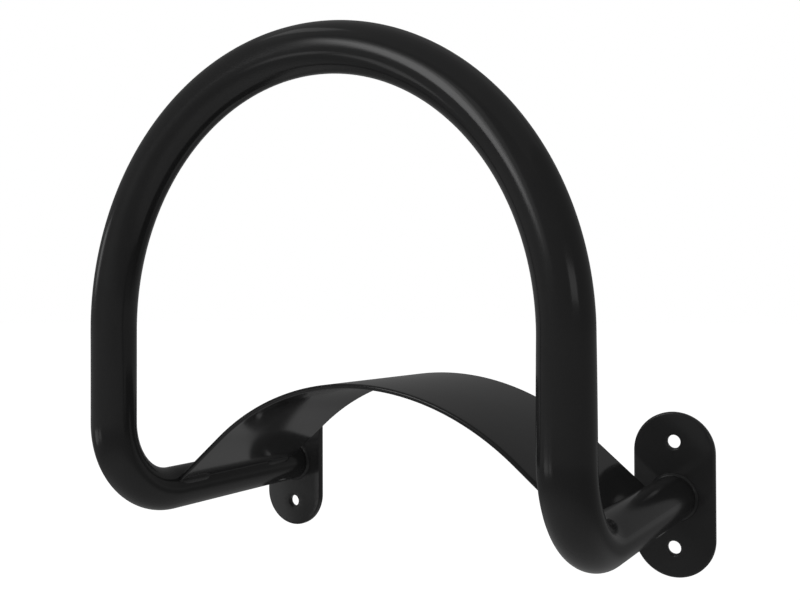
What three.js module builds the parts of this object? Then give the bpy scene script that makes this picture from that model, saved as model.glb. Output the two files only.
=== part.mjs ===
// A welded steel wall rack, in millimetres, +Z up.
// One round tube makes the whole frame: two arms come straight out of the wall, turn up in tight bends
// and meet over the middle in a tall arch. A thin curved sheet, the saddle, bridges the two arms and
// carries the load; the arch in front of it keeps the load from sliding off. Each arm ends on a
// round-ended wall plate with two screw holes, and weld beads join every piece. Nothing moves.
// The origin is on the wall, midway between the centres of the two plates. The arms run along -Y.
import * as THREE from "three";

// Driving dimensions.
const TUBE_DIAMETER = 28;
const TUBE_WALL = 1.5;
const ARM_SPACING = 300; // between the two arms' axes
const ARM_DROP = 1.5; // the arms' axes run this far below the plates' centres
const REACH = 190; // from the wall to the plane of the arch
const BEND_RADIUS = 49; // of the tube's axis where an arm turns up into a leg
const LEG_LENGTH = 58; // straight stretch between a bend and the arch
const ARCH_RISE = 155; // from the top of the legs to the arch's axis, a little over half the arm spacing

const PLATE_WIDTH = 51;
const PLATE_HEIGHT = 104.5;
const PLATE_THICKNESS = 5;
const PLATE_EDGE = 0.8; // size of the broken edge round the faces
const HOLE_DIAMETER = 8.5;
const HOLE_PITCH = 67;

const SADDLE_THICKNESS = 3;
const SADDLE_FRONT = 145; // distances of the sheet's two long edges from the wall
const SADDLE_BACK = 25;
const CROWN_HEIGHT = 74; // middle of the sheet above the arms' axes
const CROWN_RADIUS = 161;
const FLANK_ANGLE = THREE.MathUtils.degToRad(40); // slope of the straight sides below the crown

const BEAD_LEG = 2.4; // how far a weld bead spreads over each of the two pieces it joins
const BEAD_BULGE = 0.35; // 0 would give the bead a flat face
const STITCH_LENGTH = 26; // a saddle weld is two short stitches on each side
const STITCH_INSET = 3; // from the sheet's edge to the stitch
const GAP = 0.3; // clearance between neighbouring solids

// Sides and steps of the faceted surfaces.
const TUBE_SIDES = 28;
const BORE_SIDES = 14;
const BEND_STEPS = 10;
const ARCH_STEPS = 36;
const CROWN_STEPS = 32;
const PLATE_STEPS = 12; // for each curve of a plate's outline
const BEAD_STEPS = 6;
const RING_STEPS = 28;

// Worked out from the dimensions above.
const tubeRadius = TUBE_DIAMETER / 2;
const halfSpan = ARM_SPACING / 2;
const armZ = -ARM_DROP;
const legTop = armZ + BEND_RADIUS + LEG_LENGTH;
const plateFront = -PLATE_THICKNESS;
const armStart = plateFront - GAP;
const beadRoot = tubeRadius + GAP;
// The middle of a flank, carried on, passes this far below the arm's axis.
const flankBelowAxis =
  halfSpan * Math.sin(FLANK_ANGLE) -
  CROWN_HEIGHT * Math.cos(FLANK_ANGLE) -
  CROWN_RADIUS * (1 - Math.cos(FLANK_ANGLE));

// Each piece has its own powder-coat material, near black with a high gloss.
function powderCoat(color, roughness) {
  return new THREE.MeshStandardMaterial({ color, roughness, metalness: 0 });
}

const rack = new THREE.Group();

function addPiece(name, geometry, material) {
  const piece = new THREE.Mesh(geometry, material);
  piece.name = name;
  rack.add(piece);
  return piece;
}

// The tube's axis, from the left plate over the arch to the right plate. Its parameter counts steps, not
// millimetres, so that a straight stretch takes one step and a bend takes many.
class RackAxis extends THREE.Curve {
  constructor() {
    super();
    const points = [new THREE.Vector3(halfSpan, armStart, armZ)];
    const bendStart = -(REACH - BEND_RADIUS);
    for (let i = 0; i <= BEND_STEPS; i += 1) {
      const turn = (i / BEND_STEPS) * (Math.PI / 2);
      const y = bendStart - BEND_RADIUS * Math.sin(turn);
      const z = armZ + BEND_RADIUS * (1 - Math.cos(turn));
      points.push(new THREE.Vector3(halfSpan, y, z));
    }
    for (let i = 0; i < ARCH_STEPS / 2; i += 1) {
      const turn = (i / ARCH_STEPS) * Math.PI;
      const x = halfSpan * Math.cos(turn);
      const z = legTop + ARCH_RISE * Math.sin(turn);
      points.push(new THREE.Vector3(x, -REACH, z));
    }
    const apex = new THREE.Vector3(0, -REACH, legTop + ARCH_RISE);
    const leftHalf = points.map((p) => new THREE.Vector3(-p.x, p.y, p.z));
    this.points = [...leftHalf, apex, ...points.reverse()];
  }

  get steps() {
    return this.points.length - 1;
  }

  getPoint(t, target = new THREE.Vector3()) {
    const place = Math.min(Math.max(t, 0), 1) * this.steps;
    const i = Math.min(Math.floor(place), this.steps - 1);
    return target.lerpVectors(this.points[i], this.points[i + 1], place - i);
  }

  // The tangent at a corner of the path is the mean of the two stretches that meet there.
  getTangent(t, target = new THREE.Vector3()) {
    const i = Math.round(t * this.steps);
    const before = this.points[Math.max(i - 1, 0)];
    const here = this.points[i];
    const after = this.points[Math.min(i + 1, this.steps)];
    const arriving = here.clone().sub(before).normalize();
    const leaving = after.clone().sub(here).normalize();
    return target.addVectors(arriving, leaving).normalize();
  }

  getUtoTmapping(u) {
    return u;
  }
}

function circle(path, radius, sides) {
  for (let i = 0; i <= sides; i += 1) {
    const turn = (i / sides) * 2 * Math.PI;
    const x = radius * Math.cos(turn);
    const y = radius * Math.sin(turn);
    if (i === 0) path.moveTo(x, y);
    else path.lineTo(x, y);
  }
  return path;
}

function bentTube() {
  const axis = new RackAxis();
  const section = circle(new THREE.Shape(), tubeRadius, TUBE_SIDES);
  section.holes.push(circle(new THREE.Path(), tubeRadius - TUBE_WALL, BORE_SIDES));
  return new THREE.ExtrudeGeometry(section, { steps: axis.steps, extrudePath: axis });
}

// A flat outline drawn in X and Z becomes a solid that reaches from the wall side, y = back, to y = front.
function extrudeFromWall(outline, back, front, edge, curveSegments) {
  const geometry = new THREE.ExtrudeGeometry(outline, {
    depth: back - front - 2 * edge,
    bevelEnabled: edge > 0,
    bevelThickness: edge,
    bevelSize: edge,
    bevelOffset: -edge,
    bevelSegments: 2,
    curveSegments,
  });
  geometry.rotateX(Math.PI / 2);
  geometry.translate(0, back - edge, 0);
  return geometry;
}

// The plate is a strip with half-round ends. Its two screw holes stand one above the other.
function wallPlate() {
  const endRadius = PLATE_WIDTH / 2;
  const straight = PLATE_HEIGHT / 2 - endRadius;
  const outline = new THREE.Shape();
  outline.absarc(0, straight, endRadius, 0, Math.PI, false);
  outline.absarc(0, -straight, endRadius, Math.PI, 2 * Math.PI, false);
  outline.closePath();
  for (const z of [-HOLE_PITCH / 2, HOLE_PITCH / 2]) {
    const hole = new THREE.Path();
    hole.absarc(0, z, HOLE_DIAMETER / 2, 0, 2 * Math.PI, true);
    outline.holes.push(hole);
  }
  return extrudeFromWall(outline, 0, plateFront, PLATE_EDGE, PLATE_STEPS);
}

// The saddle's section: a round crown between two straight flanks that run down to the tubes.
// `offset` moves the line off the middle of the sheet, out of the crown when it is positive.
function saddleLine(offset) {
  const centreZ = armZ + CROWN_HEIGHT - CROWN_RADIUS;
  const radius = CROWN_RADIUS + offset;
  const line = [];
  for (let i = -CROWN_STEPS / 2; i <= CROWN_STEPS / 2; i += 1) {
    const turn = (i / (CROWN_STEPS / 2)) * FLANK_ANGLE;
    line.push(new THREE.Vector2(radius * Math.sin(turn), centreZ + radius * Math.cos(turn)));
  }
  const last = line.at(-1);
  const down = new THREE.Vector2(Math.cos(FLANK_ANGLE), -Math.sin(FLANK_ANGLE));
  const along = new THREE.Vector2(halfSpan, armZ).sub(last).dot(down);
  const aside = flankBelowAxis - offset;
  const foot = last.clone().addScaledVector(down, along - Math.sqrt(beadRoot ** 2 - aside ** 2));
  line.push(foot);
  line.unshift(new THREE.Vector2(-foot.x, foot.y));
  return line;
}

function saddle() {
  const top = saddleLine(SADDLE_THICKNESS / 2);
  const underside = saddleLine(-SADDLE_THICKNESS / 2).reverse();
  const outline = new THREE.Shape([...top, ...underside]);
  return extrudeFromWall(outline, -SADDLE_BACK, -SADDLE_FRONT, 0, 1);
}

// The outer face of a weld bead bulges out between the two points where it runs onto the pieces.
function beadFace(start, end, corner) {
  const control = start.clone().add(end).multiplyScalar(0.5).lerp(corner, -BEAD_BULGE);
  return new THREE.QuadraticBezierCurve(start, control, end).getPoints(BEAD_STEPS);
}

// A ring of weld in the corner between an arm and the front of its wall plate.
function plateWeld() {
  const corner = new THREE.Vector2(beadRoot, 0);
  const onPlate = new THREE.Vector2(beadRoot + BEAD_LEG, 0);
  const onTube = new THREE.Vector2(beadRoot, BEAD_LEG);
  const profile = [corner, ...beadFace(onPlate, onTube, corner), corner];
  const geometry = new THREE.LatheGeometry(profile, RING_STEPS);
  geometry.rotateX(Math.PI);
  geometry.translate(0, armStart, armZ);
  return geometry;
}

// A short stitch in the corner under the saddle's foot. It is drawn for the right side, in a section that
// has the arm's axis at its origin and the sheet running off to the left and up.
function saddleWeld(back) {
  const under = flankBelowAxis + SADDLE_THICKNESS / 2 + GAP;
  const reach = (v) => Math.sqrt(beadRoot ** 2 - v ** 2);
  const corner = new THREE.Vector2(reach(under), under);
  const onSheet = new THREE.Vector2(corner.x + BEAD_LEG, under);
  const onTube = new THREE.Vector2(reach(under + BEAD_LEG), under + BEAD_LEG);
  const tubeSide = [];
  for (let i = 1; i < BEAD_STEPS; i += 1) {
    const v = onTube.y + (corner.y - onTube.y) * (i / BEAD_STEPS);
    tubeSide.push(new THREE.Vector2(reach(v), v));
  }
  const section = [corner, ...beadFace(onSheet, onTube, corner), ...tubeSide];
  const upTheSheet = new THREE.Vector2(-Math.cos(FLANK_ANGLE), Math.sin(FLANK_ANGLE));
  const belowSheet = new THREE.Vector2(-Math.sin(FLANK_ANGLE), -Math.cos(FLANK_ANGLE));
  const points = section.map((p) =>
    new THREE.Vector2(halfSpan, armZ).addScaledVector(upTheSheet, p.x).addScaledVector(belowSheet, p.y),
  );
  return extrudeFromWall(new THREE.Shape(points), back, back - STITCH_LENGTH, 0, 1);
}

const TUBE_COAT = powderCoat(0x101011, 0.18);
const SHEET_COAT = powderCoat(0x131314, 0.22);
const PLATE_COAT = powderCoat(0x0f0f10, 0.2);
const BEAD_COAT = powderCoat(0x161617, 0.32);

addPiece("bent_tube", bentTube(), TUBE_COAT.clone());
addPiece("saddle_sheet", saddle(), SHEET_COAT.clone());

const stitchBacks = {
  front: -(SADDLE_FRONT - STITCH_INSET - STITCH_LENGTH),
  back: -(SADDLE_BACK + STITCH_INSET),
};

for (const [side, sign] of [["left", -1], ["right", 1]]) {
  const plate = addPiece(`wall_plate_${side}`, wallPlate(), PLATE_COAT.clone());
  plate.position.x = sign * halfSpan;
  const ring = addPiece(`plate_weld_${side}`, plateWeld(), BEAD_COAT.clone());
  ring.position.x = sign * halfSpan;
  for (const [end, back] of Object.entries(stitchBacks)) {
    const stitch = addPiece(`saddle_weld_${side}_${end}`, saddleWeld(back), BEAD_COAT.clone());
    stitch.scale.x = sign; // the left side mirrors the right
  }
}

export default rack;
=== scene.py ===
# %% [markdown]
# # A wall rack in gloss black powder coat
# The rack is one bent steel tube, a curved sheet called the saddle, two wall plates and the welds that
# join them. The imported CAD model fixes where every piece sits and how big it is. This script makes the
# fine surfaces around it: round tube walls, rolled sheet edges, rippled welds and the coat over them.

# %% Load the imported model
import math

import bmesh
import bpy
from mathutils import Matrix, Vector
from mathutils.geometry import delaunay_2d_cdt


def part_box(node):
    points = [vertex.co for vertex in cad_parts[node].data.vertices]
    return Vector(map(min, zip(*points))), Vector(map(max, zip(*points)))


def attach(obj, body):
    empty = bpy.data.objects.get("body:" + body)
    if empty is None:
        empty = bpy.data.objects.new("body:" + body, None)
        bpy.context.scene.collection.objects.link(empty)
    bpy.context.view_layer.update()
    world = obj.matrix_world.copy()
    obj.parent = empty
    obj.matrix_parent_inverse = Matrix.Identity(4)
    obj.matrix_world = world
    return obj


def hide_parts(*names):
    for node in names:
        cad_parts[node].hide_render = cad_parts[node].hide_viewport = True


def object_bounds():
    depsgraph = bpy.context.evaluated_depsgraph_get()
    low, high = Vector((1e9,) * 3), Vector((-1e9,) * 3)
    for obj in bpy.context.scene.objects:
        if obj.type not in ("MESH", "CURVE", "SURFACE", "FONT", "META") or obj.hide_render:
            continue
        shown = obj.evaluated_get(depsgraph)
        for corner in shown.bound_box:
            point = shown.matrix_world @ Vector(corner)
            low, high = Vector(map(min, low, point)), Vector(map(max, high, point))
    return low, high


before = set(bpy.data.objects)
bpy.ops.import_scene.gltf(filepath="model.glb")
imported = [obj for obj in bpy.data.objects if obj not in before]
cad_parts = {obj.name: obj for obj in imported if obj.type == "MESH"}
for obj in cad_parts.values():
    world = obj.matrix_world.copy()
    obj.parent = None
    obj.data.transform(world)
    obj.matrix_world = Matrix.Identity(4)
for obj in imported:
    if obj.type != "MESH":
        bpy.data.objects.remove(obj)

MM = 0.001  # one millimetre in metres
cad_low, cad_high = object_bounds()
print("CAD box", [round(v / MM, 1) for v in (*cad_low, *cad_high)], "mm")

# %% [markdown]
# ## Measure the frame
# Every size that the boxes of the CAD nodes can give is read from them, so the fine pieces land exactly
# where the plain ones are. A few sizes can't be read from a box, such as a bend's radius or the sheet's
# thickness. They are written again where they are needed, with the values that the CAD model uses.

# %% Read sizes from the CAD boxes
plate_low, plate_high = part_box("wall_plate_right")
tube_low, tube_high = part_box("bent_tube")
sheet_low, sheet_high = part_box("saddle_sheet")

half_span = (plate_low.x + plate_high.x) / 2  # from the middle of the rack to the axis of an arm
tube_radius = tube_high.x - half_span
arm_z = tube_low.z + tube_radius
arch_y = tube_low.y + tube_radius
apex_z = tube_high.z - tube_radius
plate_front = plate_low.y
print("tube radius", round(tube_radius / MM, 2), "mm, arms", round(2 * half_span / MM, 1), "mm apart")

# %% [markdown]
# ## Camera
# The rack is seen from its right, a little above the arms, with a normal lens. The camera looks almost
# level, so the arch stays upright and its front leg passes in front of the right-hand plate.

# %% Place the camera
CAMERA_PLACE = Vector((311.9, -611.1, 117.2)) * MM
CAMERA_ANGLES = (90.62, 0.17, 30.92)  # degrees about X, Y and Z
SENSOR_WIDTH = 36  # millimetres, like the focal length
FOCAL_LENGTH = 42.84

lens = bpy.data.cameras.new("camera")
lens.sensor_width = SENSOR_WIDTH
lens.lens = FOCAL_LENGTH
camera = bpy.data.objects.new("camera", lens)
camera.location = CAMERA_PLACE
camera.rotation_euler = [math.radians(angle) for angle in CAMERA_ANGLES]
bpy.context.scene.collection.objects.link(camera)
bpy.context.scene.camera = camera
print("camera", round((CAMERA_PLACE - (cad_low + cad_high) / 2).length, 3), "m from the rack's middle")

# %% [markdown]
# ## One helper for every long piece
# A tube, a rolled sheet and a weld bead are all the same thing to a modeller: a closed outline carried
# along a path. Blender's curve objects can do that, but they choose the turning of the outline
# themselves. Here each step of the path gives its own ring of points, so nothing twists, and the rings
# are joined with quads, which shade cleanly and can be checked by eye in edit mode.

# %% Join rings into a mesh
def mesh_from_rings(name, rings, closed=False, mirrored=False):
    """A piece whose skin runs through the rings in order. Open ends are capped with one face each."""
    mesh = bpy.data.meshes.new(name)
    build = bmesh.new()
    flip = Vector((-1, 1, 1)) if mirrored else Vector((1, 1, 1))
    loops = [[build.verts.new(point * flip) for point in ring] for ring in rings]
    around = len(rings[0])
    last = len(loops) if closed else len(loops) - 1
    for i in range(last):
        here, there = loops[i], loops[(i + 1) % len(loops)]
        for j in range(around):
            k = (j + 1) % around
            build.faces.new((here[j], here[k], there[k], there[j]))
    if not closed:
        build.faces.new(loops[0])
        build.faces.new(loops[-1])
    bmesh.ops.recalc_face_normals(build, faces=build.faces)
    for face in build.faces:
        face.smooth = True
    build.to_mesh(mesh)
    build.free()
    piece = bpy.data.objects.new(name, mesh)
    bpy.context.scene.collection.objects.link(piece)
    print(name, len(mesh.vertices), "points,", len(mesh.polygons), "faces")
    return piece


# %% [markdown]
# ## The bent tube
# On the real rack this is one length of steel tube. A mandrel bender makes the two tight bends, and
# rolls make the arch. A tight bend squeezes the tube: it becomes slightly flatter in the bend's plane
# and wider across it, and the leg above stays a little oval until the arch begins. So each ring here is
# an ellipse that is nearly a circle, and its flattening grows along the bend and fades up the leg. The
# bore is modelled too, because a tube is a wall with a hole in it, even where the plates hide its ends.

# %% Follow the tube's axis
X, Y, Z = Vector((1, 0, 0)), Vector((0, 1, 0)), Vector((0, 0, 1))
BEND_RADIUS = 49 * MM
ARCH_RISE = 155 * MM  # from the top of the leg to the top of the arch
BEND_STEPS = 40
ARCH_STEPS = 88  # for half of the arch
STRAIGHT_STEPS = 24
BEND_FLATTENING = 0.035  # share of the tube's radius


def right_half_of_axis():
    """Stations from the right plate to the top of the arch: place, two section directions, flattening."""
    bend_start = Vector((half_span, arch_y + BEND_RADIUS, arm_z))
    leg_bottom = Vector((half_span, arch_y, arm_z + BEND_RADIUS))
    leg_top = Vector((half_span, arch_y, apex_z - ARCH_RISE))
    arm_end = Vector((half_span, plate_front, arm_z))
    stations = [(arm_end.lerp(bend_start, i / STRAIGHT_STEPS), X, Z, 0.0) for i in range(STRAIGHT_STEPS)]
    for i in range(BEND_STEPS):
        turn = i / BEND_STEPS * math.pi / 2
        inward = Y * math.sin(turn) + Z * math.cos(turn)
        centre = bend_start + Z * BEND_RADIUS
        stations.append((centre - inward * BEND_RADIUS, X, inward, BEND_FLATTENING * math.sin(turn) ** 2))
    for i in range(STRAIGHT_STEPS):
        share = i / STRAIGHT_STEPS
        stations.append((leg_bottom.lerp(leg_top, share), X, Y, BEND_FLATTENING * (1 - share**2)))
    for i in range(ARCH_STEPS + 1):
        turn = i / ARCH_STEPS * math.pi / 2
        place = leg_top + Vector((half_span * (math.cos(turn) - 1), 0, ARCH_RISE * math.sin(turn)))
        tangent = Vector((-half_span * math.sin(turn), 0, ARCH_RISE * math.cos(turn))).normalized()
        stations.append((place, Y.cross(tangent), Y, 0.0))
    return stations


def mirror(vector):
    return Vector((-vector.x, vector.y, vector.z))


right_half = right_half_of_axis()
left_half = [(mirror(p), mirror(side), out, flat) for p, side, out, flat in reversed(right_half[:-1])]
tube_axis = right_half + left_half
print(len(tube_axis), "stations along the tube")

# %% Carry the section along the axis
TUBE_WALL = 1.5 * MM
TUBE_SIDES = 72


def tube_ring(station, radius):
    place, side, out, flattening = station
    ring = []
    for i in range(TUBE_SIDES):
        turn = i / TUBE_SIDES * 2 * math.pi
        wide = radius * (1 + flattening) * math.cos(turn)
        deep = radius * (1 - flattening) * math.sin(turn)
        ring.append(place + side * wide + out * deep)
    return ring


outside = [tube_ring(station, tube_radius) for station in tube_axis]
bore = [tube_ring(station, tube_radius - TUBE_WALL) for station in reversed(tube_axis)]
tube = mesh_from_rings("tube", outside + bore, closed=True)

# %% [markdown]
# ## The saddle sheet
# The saddle is a strip of 3 mm sheet, rolled to a round crown and left straight towards its feet, where
# it butts on the tubes. It could be a curved plane with a Solidify modifier, but its cut edges matter:
# they catch a thin line of light. So its section is a long bar with rounded corners, carried from one
# foot to the other. At each foot the bar swells in the last half millimetre, as the coat does when it
# gathers in a corner.

# %% Draw the line the sheet follows
SHEET_THICKNESS = 3 * MM
CROWN_RADIUS = 161 * MM
FLANK_ANGLE = math.radians(40)  # below the horizontal
CROWN_STEPS = 96
FLANK_STEPS = 18
FOOT_STEPS = 6
COAT_FILLET = 0.5 * MM
FOOT_IN_TUBE = 1.0 * MM  # the foot runs this far into the tube's wall, so that no gap shows


def saddle_stations():
    """Stations from the left foot to the right one: place, direction out of the crown, extra thickness."""
    centre = Vector((0, 0, sheet_high.z - SHEET_THICKNESS / 2 - CROWN_RADIUS))
    normal = Vector((math.sin(FLANK_ANGLE), 0, math.cos(FLANK_ANGLE)))
    down = Vector((math.cos(FLANK_ANGLE), 0, -math.sin(FLANK_ANGLE)))
    crown_end = centre + normal * CROWN_RADIUS
    to_axis = Vector((half_span, 0, arm_z)) - crown_end
    aside = to_axis.dot(normal)
    to_tube = to_axis.dot(down) - math.sqrt(tube_radius**2 - aside**2)
    right = []
    for i in range(CROWN_STEPS // 2 + 1):
        turn = i / (CROWN_STEPS // 2) * FLANK_ANGLE
        out = Vector((math.sin(turn), 0, math.cos(turn)))
        right.append((centre + out * CROWN_RADIUS, out, 0.0))
    for i in range(1, FLANK_STEPS + 1):
        right.append((crown_end + down * (to_tube - COAT_FILLET) * i / FLANK_STEPS, normal, 0.0))
    for i in range(1, FOOT_STEPS + 1):
        run = COAT_FILLET * i / FOOT_STEPS
        swell = COAT_FILLET - math.sqrt(COAT_FILLET**2 - run**2)
        right.append((crown_end + down * (to_tube - COAT_FILLET + run), normal, swell))
    right.append((crown_end + down * (to_tube + FOOT_IN_TUBE), normal, COAT_FILLET))
    left = [(mirror(p), mirror(out), swell) for p, out, swell in reversed(right[1:])]
    return left + right


# %% Round the edges of the strip
EDGE_RADIUS = 1.3 * MM
EDGE_STEPS = 5
STRIP_STEPS = 28


def strip_ring(station):
    place, out, swell = station
    half_depth = (sheet_high.y - sheet_low.y) / 2 - EDGE_RADIUS
    half_height = SHEET_THICKNESS / 2 + swell - EDGE_RADIUS
    middle = Vector((place.x, (sheet_high.y + sheet_low.y) / 2, place.z))
    ring = []
    for corner, (along, up) in enumerate(((1, 1), (-1, 1), (-1, -1), (1, -1))):
        for i in range(EDGE_STEPS + 1):
            turn = (corner + i / EDGE_STEPS) * math.pi / 2
            along_at = along * half_depth + EDGE_RADIUS * math.cos(turn)
            up_at = up * half_height + EDGE_RADIUS * math.sin(turn)
            ring.append(middle + Y * along_at + out * up_at)
        if corner in (0, 2):  # the broad faces get a row of points, so that the quads stay short
            start = ring[-1]
            step = -2 * along * half_depth / STRIP_STEPS
            ring += [start + Y * step * i for i in range(1, STRIP_STEPS)]
    return ring


saddle = mesh_from_rings("saddle", [strip_ring(station) for station in saddle_stations()])

# %% [markdown]
# ### Keep flat faces flat
# Smooth shading blends the direction of a broad face with that of its rounded edge, and a gloss coat
# shows it as a swollen reflection. A Weighted Normal modifier lets the broad faces win, so that only the
# narrow edge blends. The plates need the same.

# %% Let the broad faces win
FLAT_FACE_WEIGHT = 80  # 50 weighs faces by their area, and more favours the broad ones


def flatten_shading(piece):
    weighted = piece.modifiers.new("weighted normals", "WEIGHTED_NORMAL")
    weighted.keep_sharp = True
    weighted.weight = FLAT_FACE_WEIGHT
    print(piece.name, "keeps its flat faces")


flatten_shading(saddle)

# %% [markdown]
# ## The wall plates
# Each plate is flat bar, cut to a strip with half-round ends, with two screw holes. A flat plate is
# made from its outline: fill it, copy it to the other face and join the two with walls. The rims are
# tumbled before coating, so a Bevel modifier rounds every sharp edge, the holes' rims too, and
# weighted normals keep the broad faces flat under the reflections.

# %% Draw a plate's outline and holes
HOLE_RADIUS = 4.25 * MM
HOLE_PITCH = 67 * MM
END_STEPS = 48
HOLE_STEPS = 40


def plate_loops(centre_x):
    """The outline of a plate and its two holes, as places in X and Z."""
    width = plate_high.x - plate_low.x
    height = plate_high.z - plate_low.z
    straight_half = (height - width) / 2
    centre_z = (plate_high.z + plate_low.z) / 2
    outline = []
    for end, start in ((1, 0.0), (-1, math.pi)):
        for i in range(END_STEPS + 1):
            turn = start + i / END_STEPS * math.pi
            x = centre_x + width / 2 * math.cos(turn)
            z = centre_z + end * straight_half + width / 2 * math.sin(turn)
            outline.append((x, z))
    holes = []
    for end in (1, -1):
        turns = [i / HOLE_STEPS * 2 * math.pi for i in range(HOLE_STEPS)]
        hole_z = centre_z + end * HOLE_PITCH / 2
        hole = [Vector((math.cos(turn), math.sin(turn))) * HOLE_RADIUS for turn in turns]
        holes.append([(centre_x + p.x, hole_z + p.y) for p in hole])
    return [outline, *holes]


print(sum(len(loop) for loop in plate_loops(half_span)), "points round a plate and its holes")

# %% [markdown]
# ### Fill the face
# A face with holes can't be one polygon without long thin slivers, which gloss would show as cracks. So
# a coarse grid of points is laid inside the outline first, and a Delaunay fill joins everything with
# triangles that are as even as they come.

# %% Fill between the outline and the holes
FACE_GRID = 5 * MM
RIM_MARGIN = 0.6 * FACE_GRID  # the grid keeps this far from the outline
HOLE_MARGIN = 0.5 * FACE_GRID
FILL_OUTLINE = 1  # the fill's own number for "triangles inside the outline"
SAME_POINT = 1e-7


def inside_holes(x, z, loops, margin=0.0):
    """True if the point lies in one of the holes, or within the margin of one."""
    for hole in loops[1:]:
        hole_x = sum(p[0] for p in hole) / len(hole)
        hole_z = sum(p[1] for p in hole) / len(hole)
        if math.hypot(x - hole_x, z - hole_z) < HOLE_RADIUS + margin:
            return True
    return False


def filled_face(loops):
    """Points, triangles and border edges of the face between the outline and the holes."""
    points = [Vector(p) for loop in loops for p in loop]
    edges = []
    start = 0
    for loop in loops:
        edges += [(start + i, start + (i + 1) % len(loop)) for i in range(len(loop))]
        start += len(loop)
    low_x, high_x = min(p.x for p in points), max(p.x for p in points)
    low_z, high_z = min(p.y for p in points), max(p.y for p in points)
    end_radius = (high_x - low_x) / 2
    middle_x = (low_x + high_x) / 2
    columns = round((high_x - low_x) / FACE_GRID)
    rows = round((high_z - low_z) / FACE_GRID)
    for i in range(1, columns):
        for j in range(1, rows):
            x, z = low_x + i * FACE_GRID, low_z + j * FACE_GRID
            nearest_z = min(max(z, low_z + end_radius), high_z - end_radius)
            from_spine = math.hypot(x - middle_x, z - nearest_z)
            if from_spine < end_radius - RIM_MARGIN and not inside_holes(x, z, loops, HOLE_MARGIN):
                points.append(Vector((x, z)))
    places, _, triangles, *_ = delaunay_2d_cdt(points, edges, [], FILL_OUTLINE, SAME_POINT)
    kept = []
    for triangle in triangles:
        x = sum(places[i].x for i in triangle) / 3
        z = sum(places[i].y for i in triangle) / 3
        if not inside_holes(x, z, loops):
            kept.append(triangle)
    return places, kept, edges


print(len(filled_face(plate_loops(half_span))[1]), "triangles fill one face")

# %% Cut the plates
RIM_ROUNDING = 1.3 * MM
RIM_STEPS = 5
SHARP_CORNER = math.radians(40)
SIDES = (("left", -1), ("right", 1))


def cut_plate(name, centre_x):
    places, triangles, edges = filled_face(plate_loops(centre_x))
    build = bmesh.new()
    front = [build.verts.new((p.x, plate_low.y, p.y)) for p in places]
    back = [build.verts.new((p.x, plate_high.y, p.y)) for p in places]
    for triangle in triangles:
        build.faces.new([front[i] for i in triangle])
        build.faces.new([back[i] for i in reversed(triangle)])
    for i, j in edges:
        build.faces.new((front[i], front[j], back[j], back[i]))
    bmesh.ops.recalc_face_normals(build, faces=build.faces)
    for face in build.faces:
        face.smooth = True
    mesh = bpy.data.meshes.new(name)
    build.to_mesh(mesh)
    build.free()
    plate = bpy.data.objects.new(name, mesh)
    bpy.context.scene.collection.objects.link(plate)
    rounding = plate.modifiers.new("tumbled rims", "BEVEL")
    rounding.width = RIM_ROUNDING
    rounding.segments = RIM_STEPS
    rounding.limit_method = "ANGLE"
    rounding.angle_limit = SHARP_CORNER
    flatten_shading(plate)
    print(name, len(mesh.vertices), "points before rounding")
    return plate


plates = {side: cut_plate(f"plate_{side}", sign * half_span) for side, sign in SIDES}

# %% [markdown]
# ## The welds
# A hand-laid fillet weld looks like a row of overlapping scales, because the welder pauses for each
# drop of metal. One section outline, a bulging wedge in a corner, is carried along the joint while its
# size swells and shrinks, and the scales lean forward in the middle, where the metal was last to set.
# The wedge's root is sunk below both surfaces, so the bead looks fused and not laid on top.

# %% Shape one bead section
BEAD_POINTS = 10
BEAD_ROOT = 0.5 * MM
BEAD_BULGE = 0.16  # of the leg
BEAD_DIP = 1.15  # above 1, the bead's face sinks a little on both sides of the bulge
SCALE_LEAN = 0.35  # how far the middle of a scale runs ahead of its ends, in scales
SCALE_DEPTH = 0.06
SCALE_SKEW = 0.7  # below 1, the highest place of a scale comes early
MEAN_SCALE = 0.6


def scale_height(place):
    """Height of the scales: each rises quickly and falls slowly to the next one."""
    phase = place - math.floor(place)
    return math.sin(math.pi * phase**SCALE_SKEW)


def bead_profile(leg, scales):
    """Points of the wedge as distances from the corner along the two surfaces."""
    points = []
    for i in range(BEAD_POINTS + 1):
        t = i / BEAD_POINTS
        bulge = math.sin(math.pi * t)
        height = scale_height(scales + SCALE_LEAN * bulge) - MEAN_SCALE
        ripple = 1 + SCALE_DEPTH * math.sqrt(bulge) * height
        first = leg * (1 - t) ** BEAD_DIP * ripple + BEAD_BULGE * leg * bulge
        second = leg * t**BEAD_DIP * ripple + BEAD_BULGE * leg * bulge
        points.append((first, second))
    return points


print("bead section:", len(bead_profile(1.0, 0.0)), "points")


# %% Weld the arms to the plates
PLATE_BEAD_LEG = 1.8 * MM
RING_SCALES = 25
STEPS_PER_SCALE = 9
SLOW_WANDER, SLOW_WAVES = 0.05, 3  # the hand's unevenness: share of the leg, and waves per turn
QUICK_WANDER, QUICK_WAVES = 0.03, 7


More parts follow.
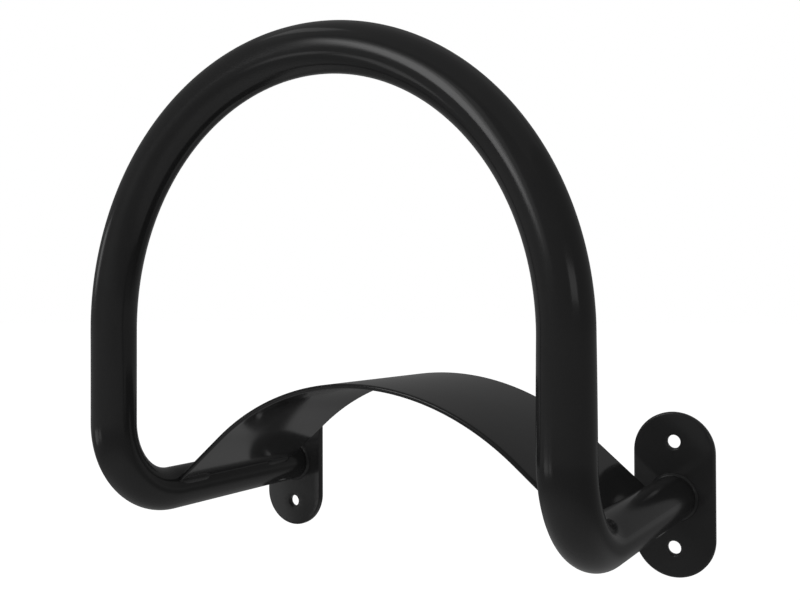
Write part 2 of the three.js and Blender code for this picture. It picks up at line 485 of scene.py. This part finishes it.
def plate_weld(name, sign):
    centre = Vector((half_span, plate_front, arm_z))
    rings = []
    steps = RING_SCALES * STEPS_PER_SCALE
    for i in range(steps):
        turn = i / steps * 2 * math.pi
        out = X * math.cos(turn) + Z * math.sin(turn)
        wander = 1 + SLOW_WANDER * math.sin(SLOW_WAVES * turn + sign)
        wander += QUICK_WANDER * math.sin(QUICK_WAVES * turn)
        ring = []
        for away, along in bead_profile(PLATE_BEAD_LEG * wander, i / STEPS_PER_SCALE):
            ring.append(centre + out * (tube_radius + away) - Y * along)
        ring.append(centre + out * (tube_radius - BEAD_ROOT) - Y * along)
        ring.append(centre + out * (tube_radius - BEAD_ROOT) + Y * BEAD_ROOT)
        ring.append(centre + out * (tube_radius + PLATE_BEAD_LEG * wander) + Y * BEAD_ROOT)
        rings.append(ring)
    return mesh_from_rings(name, rings, closed=True, mirrored=sign < 0)


plate_welds = {side: plate_weld(f"weld_at_plate_{side}", sign) for side, sign in SIDES}

# %% Stitch the saddle to the arms
STITCH_LEG = 2.5 * MM
STITCH_SCALES = 8
STITCH_TIP = 0.25  # the bead's size at its two ends
STITCH_FULLNESS = 5  # the higher, the later the bead starts to thin


def saddle_stitch(name, node, sign):
    """A short bead in the corner under the sheet's foot, as long as its CAD stand-in."""
    low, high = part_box(node)
    up_sheet = Vector((-math.cos(FLANK_ANGLE), 0, math.sin(FLANK_ANGLE)))
    below = Vector((-math.sin(FLANK_ANGLE), 0, -math.cos(FLANK_ANGLE)))
    axis = Vector((half_span, 0, arm_z))
    centre_z = sheet_high.z - SHEET_THICKNESS / 2 - CROWN_RADIUS
    to_axis = axis - Vector((0, 0, centre_z))
    line_below_axis = -(to_axis.dot(below) + CROWN_RADIUS)
    under = SHEET_THICKNESS / 2 + line_below_axis
    rings = []
    steps = STITCH_SCALES * STEPS_PER_SCALE
    for i in range(steps + 1):
        share = i / steps
        taper = max(STITCH_TIP, math.sqrt(1 - abs(2 * share - 1) ** STITCH_FULLNESS))
        ring = []
        for along_sheet, off_sheet in bead_profile(STITCH_LEG * taper, i / STEPS_PER_SCALE):
            v = under + off_sheet
            u = math.sqrt(tube_radius**2 - v**2) + along_sheet
            ring.append((u, v))
        tube_toe = ring[-1]
        ring.append((tube_toe[0] - BEAD_ROOT, tube_toe[1]))
        ring.append((math.sqrt(tube_radius**2 - under**2) - BEAD_ROOT, under - BEAD_ROOT))
        ring.append((ring[0][0], under - BEAD_ROOT))
        y = low.y + (high.y - low.y) * share
        rings.append([axis + Y * y + up_sheet * u + below * v for u, v in ring])
    return mesh_from_rings(name, rings, mirrored=sign < 0)


stitches = {}
for side, sign in SIDES:
    for end in ("front", "back"):
        node = f"saddle_weld_{side}_{end}"
        stitches[node] = saddle_stitch(f"stitch_{side}_{end}", node, sign)

# %% [markdown]
# ## Powder coat
# The whole rack is sprayed with one black powder and baked. Close up such a coat is never a plain
# black: it has a fine orange-peel skin, faint clouds where the film is thinner, pinhead specks and a
# thin, greyer film on sharp edges. Hands leave faint smears in the gloss. Every piece has
# these effects in its own measure, so they are node groups, built once and placed in each material with
# its own values: one for the skin, one for the colour and one for the gloss.

# %% Helpers for building node groups
def start_group(name, inputs, outputs):
    """An empty shader node group with named number inputs and outputs."""
    group = bpy.data.node_groups.new(name, "ShaderNodeTree")
    for title, kind, value in inputs:
        socket = group.interface.new_socket(title, in_out="INPUT", socket_type=kind)
        socket.default_value = value
    for title, kind in outputs:
        group.interface.new_socket(title, in_out="OUTPUT", socket_type=kind)
    return group, group.nodes.new("NodeGroupInput"), group.nodes.new("NodeGroupOutput")


def math_node(tree, operation, first, second):
    """A Math node whose two inputs are numbers or sockets."""
    node = tree.nodes.new("ShaderNodeMath")
    node.operation = operation
    for slot_number, value in enumerate((first, second)):
        if isinstance(value, bpy.types.NodeSocket):
            tree.links.new(value, node.inputs[slot_number])
        else:
            node.inputs[slot_number].default_value = value
    return node.outputs[0]


def noise_node(tree, place, scale, detail, roughness=0.5):
    node = tree.nodes.new("ShaderNodeTexNoise")
    tree.links.new(place, node.inputs["Vector"])
    if isinstance(scale, bpy.types.NodeSocket):
        tree.links.new(scale, node.inputs["Scale"])
    else:
        node.inputs["Scale"].default_value = scale
    node.inputs["Detail"].default_value = detail
    node.inputs["Roughness"].default_value = roughness
    return node.outputs["Fac"]


def ramp(tree, value, start, end, low=0.0, high=1.0):
    """The value spread from start..end to low..high, smoothly and without running past either."""
    node = tree.nodes.new("ShaderNodeMapRange")
    node.interpolation_type = "SMOOTHSTEP"
    tree.links.new(value, node.inputs["Value"])
    for title, number in (("From Min", start), ("From Max", end), ("To Min", low), ("To Max", high)):
        node.inputs[title].default_value = number
    return node.outputs["Result"]


# %% [markdown]
# ### Orange peel
# The powder melts into a skin of broad low cells with finer ones in them. Two noises at two sizes give
# that, and the group puts out a height for the Bump node in the material.

# %% Build the orange-peel group
BROAD_DETAIL, FINE_DETAIL = 1.5, 1.0
FINE_CELLS = 3.3  # fine cells across a broad one
FINE_SHARE = 0.25

peel, peel_in, peel_out = start_group(
    "orange peel",
    [("Cell size", "NodeSocketFloat", 2.2 * MM), ("Depth", "NodeSocketFloat", 0.01 * MM)],
    [("Height", "NodeSocketFloat")],
)
place = peel.nodes.new("ShaderNodeTexCoord").outputs["Object"]
cell_size = peel_in.outputs["Cell size"]
broad = noise_node(peel, place, math_node(peel, "DIVIDE", 1.0, cell_size), BROAD_DETAIL)
fine = noise_node(peel, place, math_node(peel, "DIVIDE", FINE_CELLS, cell_size), FINE_DETAIL)
mixed = math_node(peel, "ADD", broad, math_node(peel, "MULTIPLY", fine, FINE_SHARE))
peel.links.new(math_node(peel, "MULTIPLY", mixed, peel_in.outputs["Depth"]), peel_out.inputs["Height"])
print("orange peel group ready")

# %% [markdown]
# ### Clouds, specks and thin edges
# Film thickness changes the black by a hair. A slow noise makes the clouds, the peaks of a very fine one
# make the specks, and the geometry's pointiness finds the sharp edges. All three say how thin the film
# is, and that one number mixes the full coat's colour with the thin film's.

# %% Build the coat-colour group
CLOUD_SCALE, CLOUD_DETAIL, CLOUD_ROUGHNESS = 28.0, 3.0, 0.6  # scales are noise cells per metre
CLOUD_RANGE = (0.35, 0.7)  # where in the noise a cloud begins and is full
SPECK_SCALE = 1400.0
SPECK_RANGE = (0.74, 0.8)
SHARP_RANGE = (0.53, 0.62)  # pointiness, which is 0.5 on a flat face

tone, tone_in, tone_out = start_group(
    "coat tone",
    [
        ("Coat", "NodeSocketColor", (0.01, 0.01, 0.01, 1)),
        ("Thin film", "NodeSocketColor", (0.03, 0.03, 0.03, 1)),
        ("Cloud", "NodeSocketFloat", 0.2),
        ("Specks", "NodeSocketFloat", 0.1),
    ],
    [("Color", "NodeSocketColor"), ("Thinness", "NodeSocketFloat")],
)
place = tone.nodes.new("ShaderNodeTexCoord").outputs["Object"]
clouds = ramp(tone, noise_node(tone, place, CLOUD_SCALE, CLOUD_DETAIL, CLOUD_ROUGHNESS), *CLOUD_RANGE)
specks = ramp(tone, noise_node(tone, place, SPECK_SCALE, 0.0), *SPECK_RANGE)
pointiness = tone.nodes.new("ShaderNodeNewGeometry").outputs["Pointiness"]
edges = ramp(tone, pointiness, *SHARP_RANGE)
cloudy = math_node(tone, "MULTIPLY", clouds, tone_in.outputs["Cloud"])
speckled = math_node(tone, "MULTIPLY", specks, tone_in.outputs["Specks"])
thinness = math_node(tone, "ADD", cloudy, edges)
thinness = math_node(tone, "ADD", thinness, speckled)
thinness = math_node(tone, "MINIMUM", thinness, 1.0)
blend = tone.nodes.new("ShaderNodeMix")
blend.data_type = "RGBA"
tone.links.new(thinness, blend.inputs["Factor"])
tone.links.new(tone_in.outputs["Coat"], blend.inputs["A"])
tone.links.new(tone_in.outputs["Thin film"], blend.inputs["B"])
tone.links.new(blend.outputs["Result"], tone_out.inputs["Color"])
tone.links.new(thinness, tone_out.inputs["Thinness"])
print("coat tone group ready")

# %% [markdown]
# ### Handled gloss
# A coat that has been held and wiped is never evenly glossy. Broad smears and a fine grain raise the
# roughness a little above the coat's own, and the material says by how much.

# %% Build the handling group
SMEAR_SCALE, SMEAR_DETAIL, SMEAR_ROUGHNESS = 16.0, 4.0, 0.55
SMEAR_RANGE = (0.4, 0.75)
GRAIN_SCALE, GRAIN_DETAIL = 900.0, 2.0
GRAIN_SHARE = 0.35

handling, handling_in, handling_out = start_group(
    "handled gloss",
    [("Gloss roughness", "NodeSocketFloat", 0.12), ("Haze", "NodeSocketFloat", 0.05)],
    [("Roughness", "NodeSocketFloat")],
)
place = handling.nodes.new("ShaderNodeTexCoord").outputs["Object"]
smear_noise = noise_node(handling, place, SMEAR_SCALE, SMEAR_DETAIL, SMEAR_ROUGHNESS)
smears = ramp(handling, smear_noise, *SMEAR_RANGE)
grains = noise_node(handling, place, GRAIN_SCALE, GRAIN_DETAIL)
marks = math_node(handling, "ADD", smears, math_node(handling, "MULTIPLY", grains, GRAIN_SHARE))
haze = math_node(handling, "MULTIPLY", marks, handling_in.outputs["Haze"])
rough = math_node(handling, "ADD", handling_in.outputs["Gloss roughness"], haze)
handling.links.new(rough, handling_out.inputs["Roughness"])
print("handled gloss group ready")

# %% [markdown]
# ## One material for each kind of piece
# The tube, the sheet, the plates and the welds take the same powder differently. A drawn tube shows the
# least peel. Flat sheet and plate show a slightly deeper peel under a sharper gloss. A weld stays rough,
# because its ripples hold more powder. The plates' black is painted greyer than the rest: painted light
# that lifts the flat plates, which the same powder would leave as dark as the tube. The gloss itself is
# plain: a dielectric surface over near-black pigment.

# %% Wire one coat
COAT_IOR = 1.5  # cured polyester powder


def powder_coat(name, coat, thin, gloss, haze, peel_size, peel_depth, cloud, specks):
    material = bpy.data.materials.new(name)
    material.use_nodes = True
    tree = material.node_tree
    shader = tree.nodes["Principled BSDF"]
    shader.inputs["IOR"].default_value = COAT_IOR

    def use(group):
        node = tree.nodes.new("ShaderNodeGroup")
        node.node_tree = group
        return node

    colour, skin, sheen = use(tone), use(peel), use(handling)
    colour.inputs["Coat"].default_value = (*coat, 1)
    colour.inputs["Thin film"].default_value = (*thin, 1)
    colour.inputs["Cloud"].default_value = cloud
    colour.inputs["Specks"].default_value = specks
    skin.inputs["Cell size"].default_value = peel_size
    skin.inputs["Depth"].default_value = peel_depth
    sheen.inputs["Gloss roughness"].default_value = gloss
    sheen.inputs["Haze"].default_value = haze
    bump = tree.nodes.new("ShaderNodeBump")
    bump.inputs["Distance"].default_value = 1.0
    bump.inputs["Strength"].default_value = 1.0
    tree.links.new(colour.outputs["Color"], shader.inputs["Base Color"])
    tree.links.new(sheen.outputs["Roughness"], shader.inputs["Roughness"])
    tree.links.new(skin.outputs["Height"], bump.inputs["Height"])
    tree.links.new(bump.outputs["Normal"], shader.inputs["Normal"])
    return material


print(len(bpy.data.node_groups), "groups for the coats to share")

# %% Mix the four coats
BLACK = (0.036, 0.036, 0.0365)
THIN_BLACK = (0.062, 0.062, 0.063)
# The plates' two blacks are lighter than the rest of the rack: painted light that brightens the plates.
PLATE_BLACK_WITH_PAINTED_LIGHT = (0.056, 0.056, 0.0565)
THIN_PLATE_BLACK_WITH_PAINTED_LIGHT = (0.080, 0.080, 0.081)

tube_coat = powder_coat(
    "black coat on tube", BLACK, THIN_BLACK, gloss=0.13, haze=0.05,
    peel_size=2.4 * MM, peel_depth=0.004 * MM, cloud=0.15, specks=0.10,
)
sheet_coat = powder_coat(
    "black coat on sheet", BLACK, THIN_BLACK, gloss=0.09, haze=0.06,
    peel_size=2.8 * MM, peel_depth=0.006 * MM, cloud=0.20, specks=0.12,
)
plate_coat = powder_coat(
    "black coat on plate with painted light", PLATE_BLACK_WITH_PAINTED_LIGHT, THIN_PLATE_BLACK_WITH_PAINTED_LIGHT, gloss=0.10, haze=0.05,
    peel_size=2.6 * MM, peel_depth=0.005 * MM, cloud=0.18, specks=0.12,
)
weld_coat = powder_coat(
    "black coat on welds", BLACK, THIN_BLACK, gloss=0.22, haze=0.08,
    peel_size=1.2 * MM, peel_depth=0.012 * MM, cloud=0.30, specks=0.20,
)
coats = {
    "tube_coat": tube_coat,
    "sheet_coat": sheet_coat,
    "plate_coat": plate_coat,
    "weld_coat": weld_coat,
}
print("materials:", ", ".join(coats))

# %% [markdown]
# ## Put the pieces on the frame
# Each fine piece takes its material, hides the CAD node it stands for and rides on the rack's one
# body. Nothing on this rack moves, so there is only the root to ride on.

# %% Dress and attach the pieces
def finish_piece(piece, slot_name, node):
    piece.data.materials.append(coats[slot_name])
    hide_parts(node)
    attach(piece, "root")


finish_piece(tube, "tube_coat", "bent_tube")
finish_piece(saddle, "sheet_coat", "saddle_sheet")
for side, _ in SIDES:
    finish_piece(plates[side], "plate_coat", f"wall_plate_{side}")
    finish_piece(plate_welds[side], "weld_coat", f"plate_weld_{side}")
for node, stitch in stitches.items():
    finish_piece(stitch, "weld_coat", node)

# %% [markdown]
# ## Studio
# A black gloss object shows little of its own colour: the eye reads its shape from what it mirrors. So
# the studio is planned as a set of reflections: a pale floor, a dim even room, and panels set out like
# lamps on stands.

# %% Lay the floor
FLOOR_DROP = 0.30  # metres below the rack
FLOOR_SIZE = 60.0

floor_mesh = bpy.data.meshes.new("floor")
shape = bmesh.new()
bmesh.ops.create_grid(shape, x_segments=2, y_segments=2, size=FLOOR_SIZE / 2)
shape.to_mesh(floor_mesh)
shape.free()
floor = bpy.data.objects.new("floor", floor_mesh)
floor.location = (0, 0, cad_low.z - FLOOR_DROP)
bpy.context.scene.collection.objects.link(floor)

# %% [markdown]
# ### The floor's paper
# The paper looks plain white from the camera. What the rack mirrors of it is painted light: the paper's
# own glow paints a bright pool of light below the rack, a grey ring of painted shade round it, and a
# lighter band far behind. The glow depends on the distance from the rack, which comes from the floor's
# own coordinates. The undersides of the saddle and the arms get their soft steps of light from this glow.

# %% Make the paper
WHITE = (1, 1, 1, 1)
PAPER_GREY = (0.45, 0.45, 0.45, 1)
PAPER_ROUGHNESS = 0.9
# Glow levels of the painted light on the floor: a pool under the rack, a shaded ring, a lighter far band.
POOL_GLOW, RING_GLOW = 0.155, 0.03
POOL_EDGE = (0.4, 0.9)  # metres from the rack, where the pool fades into the grey ring
FAR_GLOW = 0.08
FAR_EDGE = (1.3, 3.0)  # and where the paper becomes lighter again

paper = bpy.data.materials.new("white floor")
paper.use_nodes = True
paper_shader = paper.node_tree.nodes["Principled BSDF"]
paper_shader.inputs["Base Color"].default_value = PAPER_GREY
paper_shader.inputs["Roughness"].default_value = PAPER_ROUGHNESS
paper_shader.inputs["Emission Color"].default_value = WHITE
on_floor = paper.node_tree.nodes.new("ShaderNodeTexCoord").outputs["Object"]
away = paper.node_tree.nodes.new("ShaderNodeVectorMath")
away.operation = "LENGTH"
paper.node_tree.links.new(on_floor, away.inputs[0])
# Away from the camera, the floor's emission paints a pool of light, a ring of shade and a lighter far
# band.
painted_pool_glow = ramp(paper.node_tree, away.outputs["Value"], *POOL_EDGE, low=POOL_GLOW, high=RING_GLOW)
painted_far_glow = ramp(paper.node_tree, away.outputs["Value"], *FAR_EDGE, low=0.0, high=FAR_GLOW)
seen = paper.node_tree.nodes.new("ShaderNodeLightPath")
glow = paper.node_tree.nodes.new("ShaderNodeMix")
glow.inputs["B"].default_value = 1.0
paper.node_tree.links.new(math_node(paper.node_tree, "ADD", painted_pool_glow, painted_far_glow), glow.inputs["A"])
paper.node_tree.links.new(seen.outputs["Is Camera Ray"], glow.inputs["Factor"])
paper.node_tree.links.new(glow.outputs["Result"], paper_shader.inputs["Emission Strength"])
floor_mesh.materials.append(paper)
print("floor laid", FLOOR_DROP, "m below the rack")

# %% [markdown]
# ### Panels on stands
# A panel's place is given as a photographer would say it: its compass direction from the front, its
# height in degrees above the rack's middle and its distance. Its brightness is what a mirror would show,
# so the watts follow from its area, and a bigger panel stays as bright as a small one.

# %% Hang soft panels
middle = (cad_low + cad_high) / 2


def stand(azimuth, elevation, distance):
    """A place given in degrees from the front towards the right, degrees up, and metres."""
    azimuth, elevation = math.radians(azimuth), math.radians(elevation)
    level = math.cos(elevation)
    aim = Vector((math.sin(azimuth) * level, -math.cos(azimuth) * level, math.sin(elevation)))
    return middle + distance * aim


def hang(name, direction, distance, size, brightness):
    """A panel turned towards the rack's middle, where a brightness of 1 mirrors as white."""
    width, height = size
    light = bpy.data.lights.new(name, "AREA")
    light.shape = "RECTANGLE"
    light.size = width
    light.size_y = height
    light.energy = brightness * math.pi * width * height
    place = stand(*direction, distance)
    panel = bpy.data.objects.new(name, light)
    panel.location = place
    panel.rotation_euler = (middle - place).to_track_quat("-Z", "Y").to_euler()
    panel.visible_camera = False
    bpy.context.scene.collection.objects.link(panel)
    print(name, round(light.energy, 3), "W")


# %% [markdown]
# ### The main screen
# The long highlight on the arch comes from one screen at the front left, close enough to fade along the
# tube. A real softbox is brightest in its middle, so three panels of falling size and rising brightness
# hang one in front of the other, and their light adds up to a soft-edged screen.

# %% Hang the main screen
hang("screen glow", (-13, 22), distance=0.72, size=(0.42, 0.40), brightness=0.25)
hang("screen body", (-18, 20), distance=0.70, size=(0.27, 0.31), brightness=0.90)
hang("screen core", (-20, 18), distance=0.68, size=(0.18, 0.24), brightness=1.20)

# %% [markdown]
# ### The smaller panels
# Two dimmer screens low on the left draw the second line under the arch's highlight and lift the left
# plate out of the black. A sliver on the left edges the left leg, a small window on the right puts a
# short streak on the right leg, and a strip high on the left draws a thin line along the top. A wide
# weak panel overhead lights the saddle's upper side.

# %% Hang the smaller panels
hang("low screen", (-37, -25), distance=1.30, size=(0.24, 0.56), brightness=0.60)
hang("low side screen", (-55.5, -21.5), distance=1.30, size=(0.42, 0.42), brightness=0.58)
hang("left sliver", (-66, 8), distance=0.70, size=(0.15, 0.10), brightness=0.95)
hang("right window", (61, 10), distance=0.70, size=(0.24, 0.10), brightness=0.60)
hang("high left strip", (-54, 59), distance=0.70, size=(0.24, 0.11), brightness=0.45)
hang("overhead", (0, 85), distance=1.30, size=(2.20, 2.20), brightness=0.05)

# %% [markdown]
# ### The room
# What no panel covers, the rack mirrors as a dim even grey, and the camera sees as white. Light Path
# tells the two apart.

# %% Fill the room with light
ROOM_GLOW = 0.135

room = bpy.data.worlds.new("studio")
room.use_nodes = True
bpy.context.scene.world = room
nodes, links = room.node_tree.nodes, room.node_tree.links
background = nodes["Background"]
path = nodes.new("ShaderNodeLightPath")
shade = nodes.new("ShaderNodeMix")
shade.inputs["A"].default_value = ROOM_GLOW
shade.inputs["B"].default_value = 1.0
links.new(path.outputs["Is Camera Ray"], shade.inputs["Factor"])
links.new(shade.outputs["Result"], background.inputs["Strength"])
background.inputs["Color"].default_value = WHITE
bpy.context.scene.view_settings.view_transform = "Standard"
print("studio ready")
